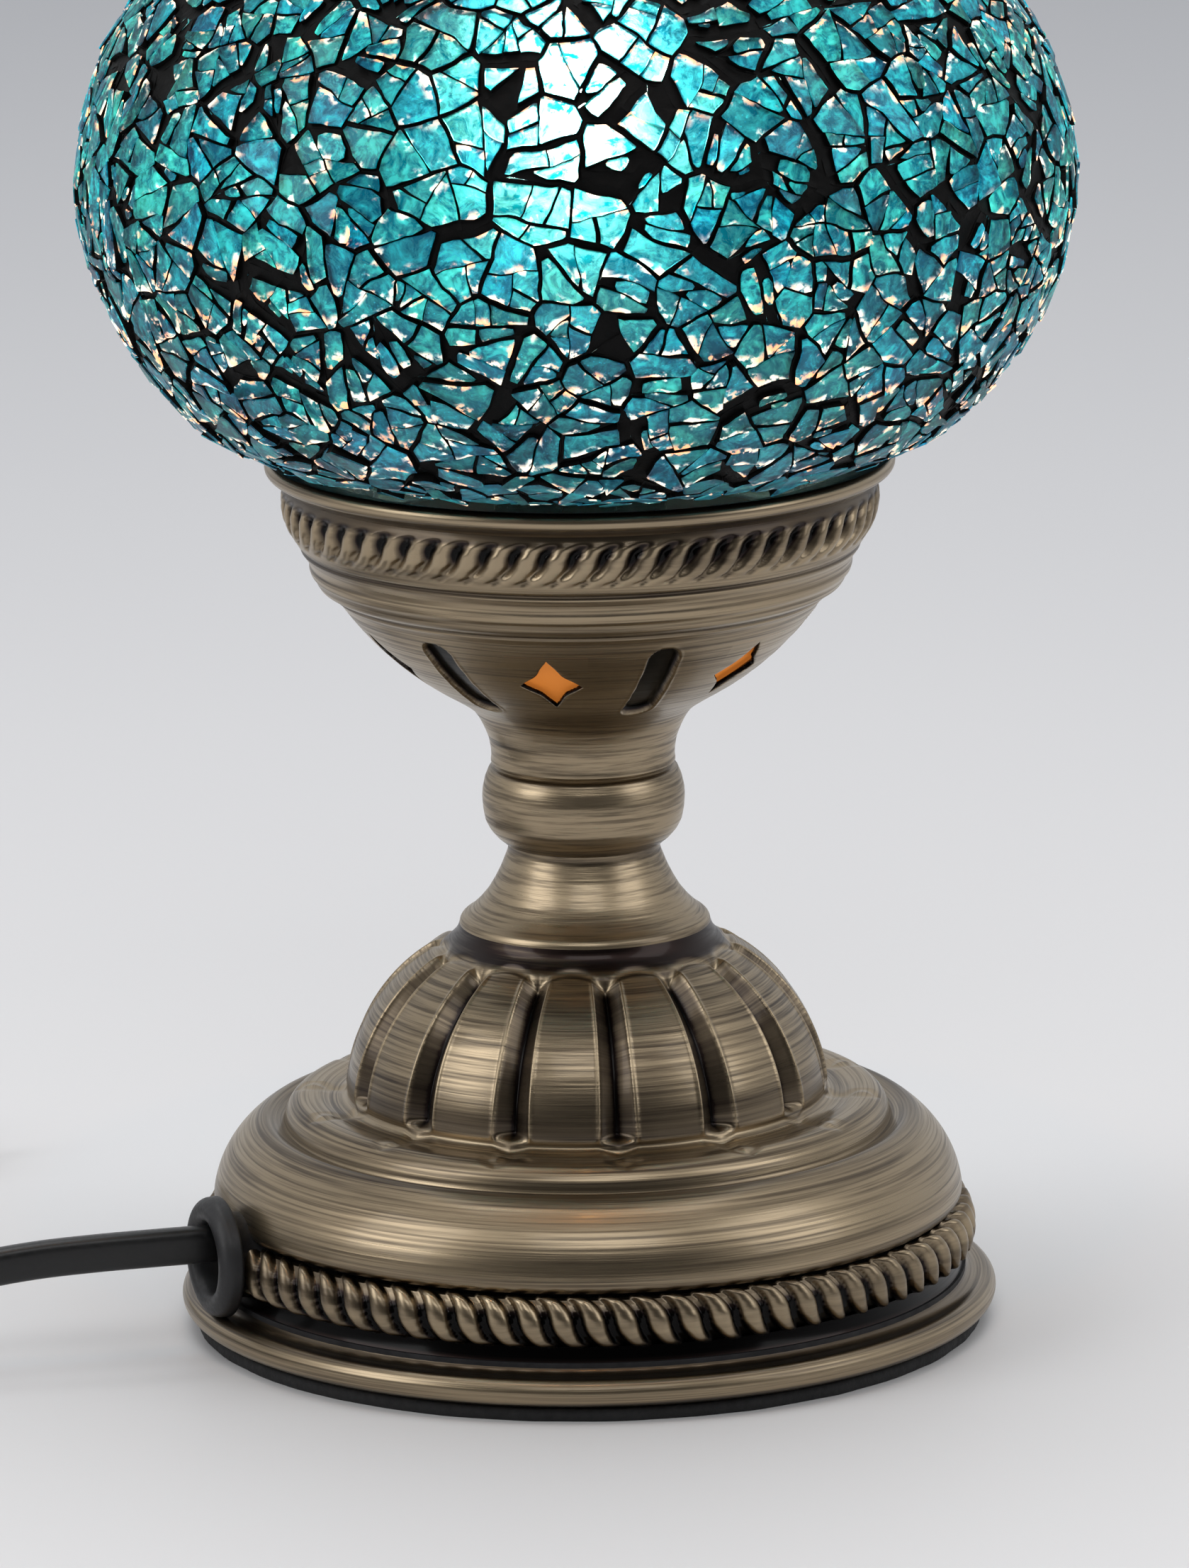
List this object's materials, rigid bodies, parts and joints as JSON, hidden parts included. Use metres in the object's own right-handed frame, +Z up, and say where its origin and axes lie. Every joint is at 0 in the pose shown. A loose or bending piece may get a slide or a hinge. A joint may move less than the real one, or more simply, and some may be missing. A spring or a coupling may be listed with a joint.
{
  "type": "mosaic glass table lamp",
  "caption": "Table lamp with an oval globe of crackled teal glass chips on a pierced, fluted antique brass stand, with cord, inline switch and plug.",
  "frame": {"origin": "centre of the underside of the foot pad", "axes": "+Z up the lamp's axis, -Y to the front, +X to the viewer's right"},
  "size_m": [0.3055, 0.2011, 0.2527],
  "materials": {
    "clear_glass": "clear blown glass",
    "mosaic_glass": "crackled teal and turquoise glass chips in black grout",
    "spring_steel": "satin spring steel",
    "black_rubber": "matte moulded rubber",
    "antique_brass": "antique brass, turned and brushed, dark in the hollows, lacquered",
    "amber_film": "thin amber plastic film, lit from behind by the bulb",
    "cast_iron": "rough cast iron",
    "zinc_steel": "zinc plated",
    "foam_rubber": "fine black foam rubber",
    "bright_brass": "bare machined brass",
    "black_bakelite": "glossy moulded",
    "porcelain_white": "off-white moulded insulator",
    "core_plastic": "core insulation",
    "solder": "solder",
    "black_glass": "glossy black insulator",
    "cap_metal": "rolled thread cap",
    "bulb_glass": "clear bulb glass",
    "filament_wire": "glowing filament, emissive",
    "white_nylon": "natural nylon",
    "black_cord": "smooth black PVC sheath",
    "tie_plastic": "soft black hook-and-loop tie",
    "switch_plastic": "fine satin moulded plastic",
    "rocker_plastic": "satin moulded plastic",
    "plug_plastic": "moulded PVC",
    "pin_nickel": "nickel plated"
  },
  "bodies": {
    "stand": {"globe_clip": "spring_steel", "seat_gasket": "black_rubber", "gallery_cup": "antique_brass", "cup_lining": "amber_film", "knuckle_collar": "antique_brass", "base_bell": "antique_brass", "base_weight": "cast_iron", "bottom_plate": "zinc_steel", "plate_screws": "zinc_steel", "foot_pad": "foam_rubber", "threaded_tube": "bright_brass", "upper_nut": "bright_brass", "upper_washer": "zinc_steel", "lower_nut": "bright_brass", "lower_washer": "zinc_steel", "holder_base": "black_bakelite", "holder_shell": "black_bakelite", "holder_insert": "porcelain_white", "holder_thread": "bright_brass", "centre_contact": "bright_brass", "terminal_screws": "zinc_steel", "core_wires": "core_plastic", "grommet": "black_rubber", "cord_anchor": "white_nylon", "inner_lead": "black_cord", "cord_lead": "black_cord", "cord_link": "black_cord", "cord_coil": "black_cord", "cord_tail": "black_cord", "cord_tie": "tie_plastic", "switch_base": "switch_plastic", "switch_cover": "switch_plastic", "rocker_pin": "zinc_steel", "switch_terminals": "bright_brass", "switch_screws": "zinc_steel", "plug_relief": "plug_plastic", "plug_body": "plug_plastic", "plug_sleeves": "plug_plastic", "plug_pins": "pin_nickel"},
    "globe": {"globe_glass": "clear_glass", "globe_mosaic": "mosaic_glass"},
    "bulb_thread": {"bulb_tip": "solder"},
    "bulb": {"bulb_insulator": "black_glass", "bulb_cap": "cap_metal", "bulb_glass": "bulb_glass", "bulb_stem": "bulb_glass", "bulb_filament": "filament_wire"},
    "rocker": {"switch_rocker": "rocker_plastic"}
  },
  "joints": [
    {"name": "globe_lift", "type": "slide", "parent": "stand", "child": "globe", "axis": [0, 0, 1], "range_m": [0, 0.106]},
    {"name": "bulb_rise", "type": "slide", "parent": "stand", "child": "bulb_thread", "axis": [0, 0, 1], "range_m": [0, 0.01128]},
    {"name": "bulb_turn", "type": "hinge", "parent": "bulb_thread", "child": "bulb", "pos_m": [0, 0, 0.15], "axis": [0, 0, 1], "range_deg": [0, 1440]},
    {"name": "switch_rock", "type": "hinge", "parent": "stand", "child": "rocker", "pos_m": [-0.162, -0.044, 0.012], "axis": [0, 1, 0], "range_deg": [-16, 0]}
  ],
  "couplings": [
    {"joint": "bulb_turn", "follows": "bulb_rise", "rad_per_m": 2228.1}
  ]
}
